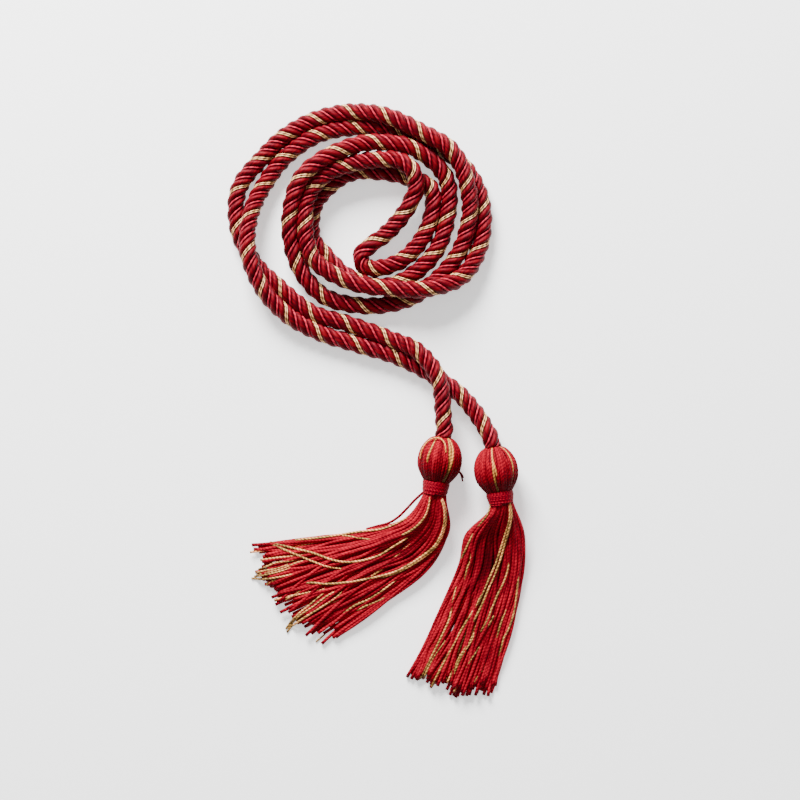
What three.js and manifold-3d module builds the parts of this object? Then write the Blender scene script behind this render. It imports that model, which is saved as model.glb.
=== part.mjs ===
// Honor cord: one twisted rope with a tassel on each end, folded, coiled and laid on a table.
// Millimetres, +Z up, the table at z = 0. The tassels point to -Y, the coil lies at +Y.
import * as THREE from "three";
import { mergeVertices } from "three/addons/utils/BufferGeometryUtils.js";
import Module from "manifold-3d";

const wasm = await Module();
wasm.setup();

// Driving dimensions
const CORD_DIAMETER = 6.8; // to the middle of the plies' relief; their crests reach 7.4
const CREST_DIAMETER = 7.4; // the lifts of the route are counted in these
const CORD_SIDES = 10;
const GAP = 0.3; // between pieces that touch on the real cord
const HEAD_DIAMETER = 20;
const HEAD_LENGTH = 19;
const HEAD_SIDES = 20;
const BINDING_LENGTH = 6.2;
const BINDING_DIAMETER = 12.4;
const CORE_DIAMETER = 8; // the yarns where the binding squeezes them
const SKIRT_LENGTH = 90;
const SKIRT_LOCKS = 9;
const LOCK_SIDES = 8;
const LOCK_SECTIONS = 8;
const LEFT_TURN = THREE.MathUtils.degToRad(-9); // each tassel's turn from straight down -Y
const RIGHT_TURN = THREE.MathUtils.degToRad(8.6);

const AXIS_HEIGHT = HEAD_DIAMETER / 2; // a head rests on its widest part
const ENTRY_LIFT = (AXIS_HEIGHT - CREST_DIAMETER / 2) / CREST_DIAMETER;

// The route of the cord's middle, laid by hand: x and y in mm, and its lift off the table in
// cord diameters. It runs from the left tassel in three turns to the fold, and back out in two.
// Where it bends hard the rows lie closer. A lift near 1 is a run that rides on another.
const ROUTE = [
  { x: 30.6, y: -16.7, lift: ENTRY_LIFT },
  { x: 31.1, y: -13.5, lift: ENTRY_LIFT },
  { x: 30.6, y: -8.1, lift: 0.84 },
  { x: 28.4, y: 9.4, lift: 0.93 },
  { x: 19.4, y: 21.6, lift: 0.6 },
  { x: 5.4, y: 27.9, lift: 0.2 },
  { x: -12.2, y: 34.2, lift: 0 },
  { x: -28.8, y: 39.4, lift: 0 },
  { x: -42.3, y: 50, lift: 0 },
  { x: -54.5, y: 62.1, lift: 0 },
  { x: -61.7, y: 78.3, lift: 0 },
  { x: -60.8, y: 95, lift: 0 },
  { x: -50.9, y: 108, lift: 0 },
  { x: -39.6, y: 118.8, lift: 0 },
  { x: -26.1, y: 126.5, lift: 0.02 },
  { x: -10.4, y: 129.6, lift: 0.3 },
  { x: 5.4, y: 127.4, lift: 0.75 },
  { x: 20.7, y: 120.2, lift: 0.95 },
  { x: 34.2, y: 111.2, lift: 1 },
  { x: 41, y: 97.2, lift: 0.8 },
  { x: 42.3, y: 81.5, lift: 0.4 },
  { x: 36.9, y: 64.8, lift: 0.05 },
  { x: 25.7, y: 52.2, lift: 0 },
  { x: 13.1, y: 44.6, lift: 0 },
  { x: -5.9, y: 42.3, lift: 0 },
  { x: -23.9, y: 47.3, lift: 0.1 },
  { x: -35.1, y: 62.1, lift: 0.35 },
  { x: -37.8, y: 81.9, lift: 0.9 },
  { x: -32, y: 99.5, lift: 1.35 },
  { x: -15.8, y: 111.2, lift: 1.15 },
  { x: 0.9, y: 116.6, lift: 0.8 },
  { x: 18.9, y: 112.5, lift: 0.65 },
  { x: 32, y: 99, lift: 0.15 },
  { x: 32.6, y: 82.4, lift: 0 },
  { x: 26.6, y: 65.7, lift: 0 },
  { x: 13.1, y: 53.8, lift: 0 },
  { x: 4.1, y: 50.9, lift: 0 },
  { x: -4.5, y: 52.2, lift: 0 },
  { x: -14, y: 56.7, lift: 0 },
  { x: -21.6, y: 64.4, lift: 0 },
  { x: -27.5, y: 71.6, lift: 0 },
  { x: -28.4, y: 80.1, lift: 0 },
  { x: -26.6, y: 88.2, lift: 0 },
  { x: -21.6, y: 94.5, lift: 0 },
  { x: -14.9, y: 99.9, lift: 0 },
  { x: -6.8, y: 102.6, lift: 0 },
  { x: 2.3, y: 102.2, lift: 0 },
  { x: 12.6, y: 100.4, lift: 0 },
  { x: 25.2, y: 94.5, lift: 0.05 },
  { x: 23.8, y: 77.4, lift: 0 },
  { x: 14.4, y: 64.4, lift: 0 },
  { x: 6.8, y: 60.3, lift: 0 },
  { x: -1.4, y: 59, lift: 0 },
  { x: -5, y: 60.5, lift: 0 },
  { x: -6.3, y: 64.4, lift: 0 },
  { x: -3.2, y: 68.4, lift: 0 },
  { x: 1.8, y: 72, lift: 0 },
  { x: 7, y: 76.5, lift: 0.1 },
  { x: 13.5, y: 84.2, lift: 0.35 },
  { x: 18.2, y: 94.1, lift: 0.75 },
  { x: 17.1, y: 101.7, lift: 0.95 },
  { x: 10.4, y: 106.2, lift: 0.98 },
  { x: 2.7, y: 106.2, lift: 0.95 },
  { x: -5, y: 105.3, lift: 0.92 },
  { x: -12.6, y: 103.5, lift: 0.9 },
  { x: -20.7, y: 100.4, lift: 0.86 },
  { x: -26.8, y: 94.5, lift: 0.86 },
  { x: -29.9, y: 87.3, lift: 0.9 },
  { x: -30.4, y: 78.8, lift: 0.95 },
  { x: -29.7, y: 71.6, lift: 0.92 },
  { x: -27.5, y: 64.4, lift: 0.88 },
  { x: -22.5, y: 58.5, lift: 0.9 },
  { x: -15.3, y: 54.5, lift: 0.9 },
  { x: -5.9, y: 51.3, lift: 0.9 },
  { x: 4.5, y: 50, lift: 0.92 },
  { x: 23, y: 49.5, lift: 0.98 },
  { x: 38.7, y: 54.9, lift: 0.45 },
  { x: 46.8, y: 68, lift: 0.05 },
  { x: 48.4, y: 86, lift: 0 },
  { x: 42, y: 102, lift: 0 },
  { x: 27.9, y: 114.3, lift: 0 },
  { x: 9.9, y: 121.1, lift: 0 },
  { x: -7.7, y: 122, lift: 0 },
  { x: -24.8, y: 118.8, lift: 0 },
  { x: -39.6, y: 109.4, lift: 0 },
  { x: -49.5, y: 96.3, lift: 0.1 },
  { x: -55.4, y: 82.8, lift: 0.55 },
  { x: -56.5, y: 66.6, lift: 1 },
  { x: -50.6, y: 50.6, lift: 0.7 },
  { x: -39.8, y: 38.5, lift: 0.3 },
  { x: -25.4, y: 30.4, lift: 0.05 },
  { x: -7.7, y: 24.8, lift: 0 },
  { x: 9.9, y: 19.4, lift: 0 },
  { x: 25.7, y: 11.3, lift: 0 },
  { x: 39.2, y: 1.4, lift: 0.15 },
  { x: 48.8, y: -11.3, lift: 0.62 },
  { x: 52, y: -18, lift: ENTRY_LIFT },
  { x: 52.6, y: -21.2, lift: ENTRY_LIFT },
];

// A head's half width along its length, both as shares, from the cord to the neck.
const HEAD_PROFILE = [
  { along: 0, wide: 0.42 },
  { along: 0.05, wide: 0.58 },
  { along: 0.18, wide: 0.8 },
  { along: 0.36, wide: 0.95 },
  { along: 0.56, wide: 1 },
  { along: 0.74, wide: 0.94 },
  { along: 0.9, wide: 0.76 },
  { along: 1, wide: 0.6 },
];
// The binding's half width along its own length, wider at the head.
const BINDING_PROFILE = [
  { along: 0, wide: 0.96 },
  { along: 0.2, wide: 1 },
  { along: 0.8, wide: 0.92 },
  { along: 1, wide: 0.84 },
];
// The two edges of each fanned skirt, as shares of SKIRT_LENGTH from the neck: x across the
// tassel and y along it. Each row is one station from the neck to the cut ends.
const LEFT_EDGES = [
  { x1: -0.055, y1: -0.015, x2: 0.06, y2: -0.015 },
  { x1: -0.12, y1: -0.14, x2: 0.1, y2: -0.16 },
  { x1: -0.29, y1: -0.225, x2: 0.04, y2: -0.355 },
  { x1: -0.54, y1: -0.3, x2: -0.13, y2: -0.545 },
  { x1: -0.83, y1: -0.38, x2: -0.39, y2: -0.8 },
];
const RIGHT_EDGES = [
  { x1: -0.06, y1: -0.015, x2: 0.06, y2: -0.015 },
  { x1: -0.17, y1: -0.125, x2: 0.09, y2: -0.155 },
  { x1: -0.25, y1: -0.265, x2: 0.06, y2: -0.34 },
  { x1: -0.385, y1: -0.49, x2: -0.005, y2: -0.565 },
  { x1: -0.6, y1: -0.78, x2: -0.17, y2: -0.93 },
];
// The underside and the crown of the skirt at the same stations, as shares of HEAD_DIAMETER.
// Below 0 it is pressed flat on the table.
const MOUND = [
  { low: 0.24, high: 0.76 },
  { low: 0.06, high: 0.68 },
  { low: -0.08, high: 0.54 },
  { low: -0.08, high: 0.42 },
  { low: -0.08, high: 0.28 },
];
const EDGE_FALL = 0.45; // how much lower the mound is at its edges than in its middle
const LOCK_FILL = 0.68; // a lock's half width over the pitch of the locks, so they overlap
const TIP_TAPER = 0.75; // a lock's width at its cut end over its full width
// How far each lock reaches past the last station, over the skirt's length, edge to edge.
const REACH = [0.98, 1.02, 1.09, 1.06, 1.11, 1.04, 1.08, 1.02, 0.97];

const crimsonRope = new THREE.MeshStandardMaterial({
  color: 0x960f1b,
  roughness: 0.5,
  metalness: 0,
});
const crimsonHead = new THREE.MeshStandardMaterial({
  color: 0xb51226,
  roughness: 0.45,
  metalness: 0,
});
const crimsonBinding = new THREE.MeshStandardMaterial({
  color: 0xa01020,
  roughness: 0.5,
  metalness: 0,
});
const crimsonSkirt = new THREE.MeshStandardMaterial({
  color: 0xc01428,
  roughness: 0.5,
  metalness: 0,
});

// A closed three.js geometry as a manifold solid, and back.
function toSolid(geometry) {
  const bare = geometry.clone();
  bare.deleteAttribute("normal");
  bare.deleteAttribute("uv");
  const merged = mergeVertices(bare, 1e-4);
  return new wasm.Manifold(
    new wasm.Mesh({
      numProp: 3,
      vertProperties: new Float32Array(merged.attributes.position.array),
      triVerts: new Uint32Array(merged.index.array),
    }),
  );
}

function toGeometry(solid) {
  const mesh = solid.getMesh();
  const geometry = new THREE.BufferGeometry();
  geometry.setAttribute("position", new THREE.BufferAttribute(mesh.vertProperties, 3));
  geometry.setIndex(new THREE.BufferAttribute(mesh.triVerts, 1));
  geometry.computeVertexNormals();
  return geometry;
}

function namedMesh(name, geometry, material) {
  const mesh = new THREE.Mesh(geometry, material);
  mesh.name = name;
  return mesh;
}

// The cord's path. Its sections stand at the rows of the route, not at equal lengths, so that
// the fold gets the short steps that it needs.
class LaidPath extends THREE.CatmullRomCurve3 {
  getUtoTmapping(u) {
    return u;
  }
}

function cordGeometry() {
  const points = ROUTE.map(
    ({ x, y, lift }) => new THREE.Vector3(x, y, CREST_DIAMETER * (lift + 0.5)),
  );
  const section = new THREE.Shape(
    Array.from({ length: CORD_SIDES }, (_, i) => {
      const angle = (2 * Math.PI * i) / CORD_SIDES;
      return new THREE.Vector2(Math.cos(angle), Math.sin(angle)).multiplyScalar(CORD_DIAMETER / 2);
    }),
  );
  return new THREE.ExtrudeGeometry(section, {
    extrudePath: new LaidPath(points, false, "centripetal"),
    steps: ROUTE.length - 1,
    bevelEnabled: false,
  });
}

// A turned solid along -Y, from a table of half widths along its length.
function turned(profile, length, halfWidth, boreRadius) {
  const wall = profile.map(
    ({ along, wide }) => new THREE.Vector2(wide * halfWidth, -along * length),
  );
  const bottom = new THREE.Vector2(boreRadius, -length);
  const top = new THREE.Vector2(boreRadius, 0);
  const outline = [bottom, ...wall.reverse(), top];
  if (boreRadius > 0) outline.unshift(top);
  return new THREE.LatheGeometry(outline, HEAD_SIDES);
}

// One lock of the skirt: a tube of oval sections, drawn from a plain cylinder. Its path runs
// between the skirt's two edges at the share "across".
function lockSolid(edges, across, reach) {
  const stations = edges.map(({ x1, y1, x2, y2 }, k) => {
    const { low, high } = MOUND[k];
    const offset = 2 * across - 1;
    const halfHeight = 0.5 * (high - low) * HEAD_DIAMETER * (1 - EDGE_FALL * offset * offset);
    return {
      middle: new THREE.Vector3(
        THREE.MathUtils.lerp(x1, x2, across) * SKIRT_LENGTH,
        THREE.MathUtils.lerp(y1, y2, across) * SKIRT_LENGTH,
        low * HEAD_DIAMETER + halfHeight,
      ),
      halfWidth: (LOCK_FILL * SKIRT_LENGTH * Math.hypot(x2 - x1, y2 - y1)) / SKIRT_LOCKS,
      halfHeight,
    };
  });
  const last = stations.at(-1);
  const before = stations.at(-2);
  last.middle.x = THREE.MathUtils.lerp(before.middle.x, last.middle.x, 1 + 2 * (reach - 1));
  last.middle.y = THREE.MathUtils.lerp(before.middle.y, last.middle.y, 1 + 2 * (reach - 1));
  last.halfWidth *= TIP_TAPER;
  last.halfHeight *= TIP_TAPER;

  const path = new THREE.CatmullRomCurve3(stations.map((s) => s.middle));
  const sizes = new THREE.CatmullRomCurve3(
    stations.map((s) => new THREE.Vector3(s.halfWidth, s.halfHeight, 0)),
  );
  const geometry = new THREE.CylinderGeometry(1, 1, 1, LOCK_SIDES, LOCK_SECTIONS);
  const position = geometry.attributes.position;
  const up = new THREE.Vector3(0, 0, 1);
  const corner = new THREE.Vector3();
  for (let i = 0; i < position.count; i++) {
    corner.fromBufferAttribute(position, i);
    const along = 0.5 - corner.y;
    const size = sizes.getPoint(along);
    const side = path.getTangent(along).cross(up).normalize();
    const placed = path
      .getPoint(along)
      .addScaledVector(side, -corner.x * size.x)
      .addScaledVector(up, corner.z * size.y);
    position.setXYZ(i, placed.x, placed.y, placed.z);
  }
  return toSolid(geometry);
}

// The skirt: its locks, fused to the core that the binding holds, and flat where it lies on the
// table. The group's origin is where the binding ends, at AXIS_HEIGHT over the table.
function skirtGeometry(edges) {
  const coreLength = BINDING_LENGTH + 2 * GAP + 0.1 * SKIRT_LENGTH;
  const core = new THREE.CylinderGeometry(
    CORE_DIAMETER / 2,
    CORE_DIAMETER / 2,
    coreLength,
    HEAD_SIDES,
  );
  core.translate(0, BINDING_LENGTH + GAP - coreLength / 2, AXIS_HEIGHT);
  let solid = toSolid(core);
  for (let i = 0; i < SKIRT_LOCKS; i++)
    solid = solid.add(lockSolid(edges, (i + 0.5) / SKIRT_LOCKS, REACH[i % REACH.length]));
  const under = new THREE.BoxGeometry(4 * SKIRT_LENGTH, 4 * SKIRT_LENGTH, HEAD_DIAMETER);
  under.translate(0, 0, -HEAD_DIAMETER / 2);
  return toGeometry(solid.subtract(toSolid(under)));
}

function tassel(side, end, turn, edges) {
  const group = new THREE.Group();
  group.position.set(end.x, end.y, 0);
  group.rotation.z = turn;

  const head = namedMesh(
    `tassel_${side}_head`,
    turned(HEAD_PROFILE, HEAD_LENGTH, HEAD_DIAMETER / 2, 0),
    crimsonHead,
  );
  head.position.set(0, -GAP, AXIS_HEIGHT);

  const binding = namedMesh(
    `tassel_${side}_binding`,
    turned(BINDING_PROFILE, BINDING_LENGTH, BINDING_DIAMETER / 2, CORE_DIAMETER / 2 + GAP),
    crimsonBinding,
  );
  binding.position.set(0, head.position.y - HEAD_LENGTH - GAP, AXIS_HEIGHT);

  const skirt = namedMesh(`tassel_${side}_skirt`, skirtGeometry(edges), crimsonSkirt);
  skirt.position.set(0, binding.position.y - BINDING_LENGTH - GAP, 0);

  group.add(head, binding, skirt);
  return group;
}

const honorCord = new THREE.Group();
honorCord.add(
  namedMesh("cord", cordGeometry(), crimsonRope),
  tassel("left", ROUTE.at(0), LEFT_TURN, LEFT_EDGES),
  tassel("right", ROUTE.at(-1), RIGHT_TURN, RIGHT_EDGES),
);

// The origin is on the table, under the middle of the whole cord.
const middle = new THREE.Box3().setFromObject(honorCord, true).getCenter(new THREE.Vector3());
honorCord.position.set(-middle.x, -middle.y, 0);

export default honorCord;
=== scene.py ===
# %% [markdown]
# An honor cord is the twisted rope that a student wears round the neck at a graduation, with
# a tassel on each end. This one is crimson with a gold yarn in it. Here it is folded in half,
# coiled and laid on a table, and both tassels point to the front.
# Yarn is long, thin and round, so nearly every piece below is made in the same way. A path is
# worked out as rows of points, a small section is carried along it, and the grid of points
# that comes out becomes one mesh. That gives exact sizes, and whole arrays keep it quick.

import bpy
import numpy as np
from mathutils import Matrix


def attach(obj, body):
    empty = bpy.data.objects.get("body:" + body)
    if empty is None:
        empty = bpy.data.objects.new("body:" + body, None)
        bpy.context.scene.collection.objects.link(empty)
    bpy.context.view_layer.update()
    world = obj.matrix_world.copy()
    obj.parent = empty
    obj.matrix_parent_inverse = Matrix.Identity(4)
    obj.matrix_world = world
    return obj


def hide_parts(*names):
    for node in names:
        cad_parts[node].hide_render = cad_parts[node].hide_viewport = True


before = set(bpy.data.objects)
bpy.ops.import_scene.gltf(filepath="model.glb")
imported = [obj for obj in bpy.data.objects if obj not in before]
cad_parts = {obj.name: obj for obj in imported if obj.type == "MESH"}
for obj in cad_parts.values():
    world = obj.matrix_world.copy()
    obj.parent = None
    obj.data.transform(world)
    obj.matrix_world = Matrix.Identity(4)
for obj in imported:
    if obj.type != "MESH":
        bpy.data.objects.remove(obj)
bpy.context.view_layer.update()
MM = 0.001

# %% [markdown]
# The photograph was taken from straight above. A long lens, high over the table, keeps the
# rope equally thick everywhere, so the camera looks down the Z axis with +Y at the top of the
# picture. The frame is 360 mm wide at the table and its middle is a little right of the cord's.

# %% Camera
VIEW_WIDTH = 360 * MM
VIEW_MIDDLE = (9.99 * MM, 1.57 * MM)
CAMERA_HEIGHT = 1.1
SENSOR_WIDTH = 36

camera_data = bpy.data.cameras.new("camera_above")
camera_data.sensor_width = SENSOR_WIDTH
camera_data.lens = SENSOR_WIDTH * CAMERA_HEIGHT / VIEW_WIDTH
camera = bpy.data.objects.new("camera_above", camera_data)
camera.location = (*VIEW_MIDDLE, CAMERA_HEIGHT)
bpy.context.scene.collection.objects.link(camera)
bpy.context.scene.camera = camera
print(f"lens {camera_data.lens:.0f} mm at {CAMERA_HEIGHT} m")

# %% [markdown]
# The rope's route is the hardest thing to guess, so it is a table: each row is a point of the
# rope's middle as it lies, its lift off the table in rope diameters, and how many lays (full
# turns of the twist) lie between it and the row above. Where a run rides on another the lift
# is near 1. A smooth curve goes through the rows, and the count of lays rides along it as a
# fourth coordinate, so the twist speeds up and slows down as smoothly as the bends do.

# %% Route of the rope
ROPE_DIAMETER = 7.4
CREST = 0.4  # how far the plies' crests stand out past the diameter, which is over their middle
AXIS_HEIGHT = 10  # the tassels' middle line, over the table
ENTRY_LIFT = (AXIS_HEIGHT - ROPE_DIAMETER / 2) / ROPE_DIAMETER

# x and y in mm, lift in rope diameters, lays since the row above
ROUTE = [
    (30.6, -16.7, ENTRY_LIFT, 0),
    (31.1, -13.5, ENTRY_LIFT, 0.2),
    (30.6, -8.1, 0.84, 0.3),
    (28.4, 9.4, 0.93, 1),
    (19.4, 21.6, 0.6, 1),
    (5.4, 27.9, 0.2, 1),
    (-12.2, 34.2, 0, 1),
    (-28.8, 39.4, 0, 1),
    (-42.3, 50, 0, 1),
    (-54.5, 62.1, 0, 1),
    (-61.7, 78.3, 0, 1),
    (-60.8, 95, 0, 1),
    (-50.9, 108, 0, 1),
    (-39.6, 118.8, 0, 1),
    (-25.9, 126, 0.02, 1),
    (-10.3, 128.9, 0.3, 1),
    (5.2, 126.8, 0.75, 1),
    (20.4, 119.7, 0.95, 1),
    (34.2, 111.2, 1, 1),
    (41, 97.2, 0.8, 1),
    (42.3, 81.5, 0.4, 1),
    (36.9, 64.8, 0.05, 1),
    (25.7, 52.2, 0, 1),
    (13.1, 44.6, 0, 1),
    (-5.9, 42.3, 0, 1),
    (-23.9, 47.3, 0.1, 1),
    (-35.1, 62.1, 0.35, 1),
    (-37.8, 81.9, 0.9, 1),
    (-32, 99.5, 1.35, 1),
    (-15.8, 110.9, 1.15, 1),
    (0.9, 114.9, 0.8, 1),
    (18.7, 111.6, 0.65, 1),
    (32, 99, 0.15, 1),
    (32.6, 82.4, 0, 1),
    (26.6, 65.7, 0, 1),
    (13.1, 53.8, 0, 1),
    (4.1, 50.9, 0, 0.5),
    (-4.5, 52.2, 0, 0.5),
    (-14, 56.7, 0, 0.5),
    (-21.6, 64.4, 0, 0.5),
    (-27.5, 71.6, 0, 0.5),
    (-28.4, 80.1, 0, 0.5),
    (-26.6, 88.2, 0, 0.5),
    (-21.6, 94.5, 0, 0.5),
    (-14.9, 99.9, 0, 0.5),
    (-6.8, 102.6, 0, 0.5),
    (2.3, 102.2, 0, 0.5),
    (12.6, 100.4, 0, 0.5),
    (25.2, 94.5, 0.05, 1),
    (23.8, 77.4, 0, 1),
    (14.4, 64.4, 0, 1),
    (6.8, 60.3, 0, 0.5),
    (-1.4, 59, 0, 0.5),
    (-5, 60.5, 0, 0.25),
    (-6.3, 64.4, 0, 0.25),
    (-3.2, 68.4, 0, 0.25),
    (1.8, 72, 0, 0.25),
    (7, 76.5, 0.1, 0.4),
    (13.5, 84.2, 0.35, 0.6),
    (18.2, 94.1, 0.75, 0.5),
    (17.1, 101.7, 0.95, 0.5),
    (10.4, 106.8, 0.98, 0.5),
    (2.7, 107.1, 0.95, 0.5),
    (-5.2, 106.4, 0.92, 0.5),
    (-13, 104.5, 0.9, 0.5),
    (-21.2, 101.1, 0.86, 0.5),
    (-27.4, 95, 0.86, 0.5),
    (-30.7, 87.5, 0.9, 0.5),
    (-31, 78.9, 0.95, 0.5),
    (-30.4, 71.4, 0.92, 0.5),
    (-28.1, 64.1, 0.88, 0.5),
    (-22.5, 58.5, 0.9, 0.5),
    (-15.3, 54.5, 0.9, 0.5),
    (-5.9, 51.3, 0.9, 0.5),
    (4.5, 50, 0.92, 0.5),
    (23, 49.5, 0.98, 1),
    (38.7, 54.9, 0.45, 1),
    (46.8, 68, 0.05, 1),
    (48.4, 86, 0, 1),
    (42, 102, 0, 1),
    (27.9, 114.3, 0, 1),
    (9.9, 121, 0, 1),
    (-7.7, 122.2, 0, 1),
    (-24.9, 119.1, 0, 1),
    (-39.6, 109.4, 0, 1),
    (-49.5, 96.3, 0.1, 1),
    (-55.4, 82.8, 0.55, 1),
    (-56.5, 66.6, 1, 1),
    (-50.6, 50.6, 0.7, 1),
    (-39.8, 38.5, 0.3, 1),
    (-25.4, 30.4, 0.05, 1),
    (-7.7, 24.8, 0, 1),
    (9.9, 19.4, 0, 1),
    (25.7, 11.3, 0, 1),
    (39.2, 1.4, 0.15, 1),
    (48.8, -11.3, 0.62, 1),
    (52, -18, ENTRY_LIFT, 0.4),
    (52.6, -21.2, ENTRY_LIFT, 0.2),
]
PLACED = (-1.26, 1.57)  # from the middle of the drawing to the middle of the cord's box
GOLD_ON_TOP_ROW = 2  # where the rope passes this row its gold yarns are on top

route = np.array(ROUTE, float)
route[:, 2] = ROPE_DIAMETER * (route[:, 2] + 0.5) + CREST
route[:, 3] = np.cumsum(route[:, 3])
route[:, 3] -= route[GOLD_ON_TOP_ROW, 3]
print(len(route), "rows,", round(route[-1, 3] - route[0, 3], 1), "lays")


# %% Smooth curve through rows of points
def smooth_curve(points, steps):
    """A smooth curve through points (..., rows, columns), with steps points to a stretch.

    Each stretch is a cubic. The slope at a point is (its step in) / d0 - (both steps) / (d0 + d1)
    + (its step out) / d1, times the stretch's own d, where d is the root of a step's length.
    Columns past the third ride along and don't count in the lengths.
    """
    first = 2 * points[..., :1, :] - points[..., 1:2, :]
    last = 2 * points[..., -1:, :] - points[..., -2:-1, :]
    p = np.concatenate([first, points, last], axis=-2)
    d = np.linalg.norm(np.diff(p[..., :3], axis=-2), axis=-1) ** 0.5
    rows = p.shape[-2]
    p0, p1, p2, p3 = (p[..., k : rows - 3 + k, None, :] for k in range(4))
    d0, d1, d2 = (d[..., k : rows - 3 + k, None, None] for k in range(3))
    slope_in = ((p1 - p0) / d0 - (p2 - p0) / (d0 + d1) + (p2 - p1) / d1) * d1
    slope_out = ((p2 - p1) / d1 - (p3 - p1) / (d1 + d2) + (p3 - p2) / d2) * d1
    t = np.linspace(0, 1, steps, endpoint=False)[:, None]
    curve = (
        p1
        + slope_in * t
        + (3 * (p2 - p1) - 2 * slope_in - slope_out) * t**2
        + (2 * (p1 - p2) + slope_in + slope_out) * t**3
    )
    flat = curve.reshape(*points.shape[:-2], -1, points.shape[-1])
    return np.concatenate([flat, points[..., -1:, :]], axis=-2)


def length_along(path):
    """The distance of each point from the first along the path: the running sum of the steps."""
    steps = np.linalg.norm(np.diff(path[..., :3], axis=-2), axis=-1)
    return np.concatenate([0 * steps[..., :1], np.cumsum(steps, axis=-1)], axis=-1)


FINE_STEPS = 40  # points of the smooth curve between two rows
SECTIONS_PER_LAY = 22  # rings of the mesh for one full turn of the twist
fine = smooth_curve(route, FINE_STEPS)
rope_lays = np.arange(fine[0, 3], fine[-1, 3], 1 / SECTIONS_PER_LAY)
rope_path = np.stack([np.interp(rope_lays, fine[:, 3], fine[:, k]) for k in range(3)], axis=-1)
rope_path[:, :2] += PLACED
rope_run = length_along(rope_path)
print(f"rope {rope_run[-1]:.0f} mm long in {len(rope_path)} sections")

# %% [markdown]
# A strand laid in a rope is a helix round the rope's middle. To draw it, each point of the
# path needs its own set of axes: along the rope, the way up, and the way across. The sine and
# cosine of the lay's angle, times the last two, say where the strand is.


# %% Axes along a path
def axes_along(path, upwards=(0, 0, 1)):
    """The unit axes at each point of a path (..., rows, 3): along it, up, and across.

    Along is the change from point to point. Up is the way that is called upwards, less its
    share along the path. Across is along x up.
    """
    along = np.gradient(path, axis=-2)
    along /= np.linalg.norm(along, axis=-1, keepdims=True)
    up = np.asarray(upwards, float)
    up = up - (along * up).sum(axis=-1, keepdims=True) * along
    up /= np.linalg.norm(up, axis=-1, keepdims=True)
    return along, up, np.cross(along, up)


def laid_strand(angle, out, half_height, half_width, sides):
    """One strand of the rope as a grid of points, rows along the rope and sides round it.

    Its middle is at out x (up x cos(angle) + across x sin(angle)). Its section is an oval,
    half_height from the rope's middle outwards and half_width round it. It starts on the
    inner side, so the seam of the fibre map is out of sight.
    """
    outwards = np.cos(angle)[:, None] * rope_up + np.sin(angle)[:, None] * rope_across
    round_it = np.cos(angle)[:, None] * rope_across - np.sin(angle)[:, None] * rope_up
    turn = 2 * np.pi * np.arange(sides) / sides + np.pi
    return (
        (rope_path + out * outwards)[:, None]
        + half_height * np.cos(turn)[:, None] * outwards[:, None]
        + half_width * np.sin(turn)[:, None] * round_it[:, None]
    )


_, rope_up, rope_across = axes_along(rope_path)
lay_angle = 2 * np.pi * rope_lays
print("axes for", len(rope_up), "sections")

# %% [markdown]
# Every yarn becomes a closed tube: a grid of points, faces between neighbours, and a flat cap
# on each cut end. Each corner of a face also gets two numbers for the material, kept as a UV
# map. The first counts the fibres' twist round the yarn, and the second is millimetres along
# it, so one fine pattern can run along every yarn however it bends.


# %% Mesh from grids of points
def yarn_object(name, material, grids, twist, run, tint=1.0):
    """Makes one mesh from grids of points of shape (yarns, rows, sides, 3), in mm.

    twist is added to the share of the way round, and run is the length along; both are of
    shape (yarns, rows). tint is how bright the dye is drawn at each point: 1 on a clean ridge in
    the open, the yarn's own tone elsewhere, and darker where painted shade stands for the shade
    between yarns. It is kept as an attribute of the points.
    """
    yarns, rows, sides, _ = grids.shape
    index = np.arange(yarns * rows * sides).reshape(yarns, rows, sides)
    ring = np.roll(index, -1, axis=2)
    quads = np.stack([index[:, :-1], ring[:, :-1], ring[:, 1:], index[:, 1:]], axis=-1)
    caps = np.concatenate([index[:, 0, ::-1], index[:, -1]])

    share = np.arange(sides + 1) / sides
    left = np.broadcast_to(share[:-1], (yarns, rows - 1, sides))
    right = np.broadcast_to(share[1:], (yarns, rows - 1, sides))
    here, there = twist[:, :-1, None], twist[:, 1:, None]
    u = np.stack([left + here, right + here, right + there, left + there], axis=-1)
    near = np.broadcast_to(run[:, :-1, None], left.shape)
    far = np.broadcast_to(run[:, 1:, None], left.shape)
    v = np.stack([near, near, far, far], axis=-1)
    cap_uv = np.zeros((caps.size, 2))
    uv = np.concatenate([np.stack([u, v], axis=-1).reshape(-1, 2), cap_uv])

    corners = np.concatenate([quads.ravel(), caps.ravel()])
    sizes = np.concatenate([np.full(quads.size // 4, 4), np.full(len(caps), sides)])
    mesh = bpy.data.meshes.new(name)
    mesh.vertices.add(index.size)
    mesh.vertices.foreach_set("co", (grids * MM).astype(np.float32).ravel())
    mesh.loops.add(corners.size)
    mesh.loops.foreach_set("vertex_index", corners.astype(np.int32))
    mesh.polygons.add(sizes.size)
    mesh.polygons.foreach_set("loop_start", (np.cumsum(sizes) - sizes).astype(np.int32))
    mesh.update(calc_edges=True)
    mesh.polygons.foreach_set("use_smooth", sizes == 4)
    layer = mesh.uv_layers.new(name="fibre_map")
    layer.uv.foreach_set("vector", uv.astype(np.float32).ravel())
    # the yarn's own tone times its painted shade, and on the skirts its painted light
    shade = mesh.attributes.new("yarn_tone_and_painted_shade", "FLOAT", "POINT")
    values = np.broadcast_to(tint, (yarns, rows, sides)).astype(np.float32)
    shade.data.foreach_set("value", values.ravel())
    mesh.validate()
    mesh.materials.append(material)
    made = bpy.data.objects.new(name, mesh)
    bpy.context.scene.collection.objects.link(made)
    print(f"{name}: {yarns} yarns, {2 * quads.size // 4} triangles")
    return made
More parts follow.
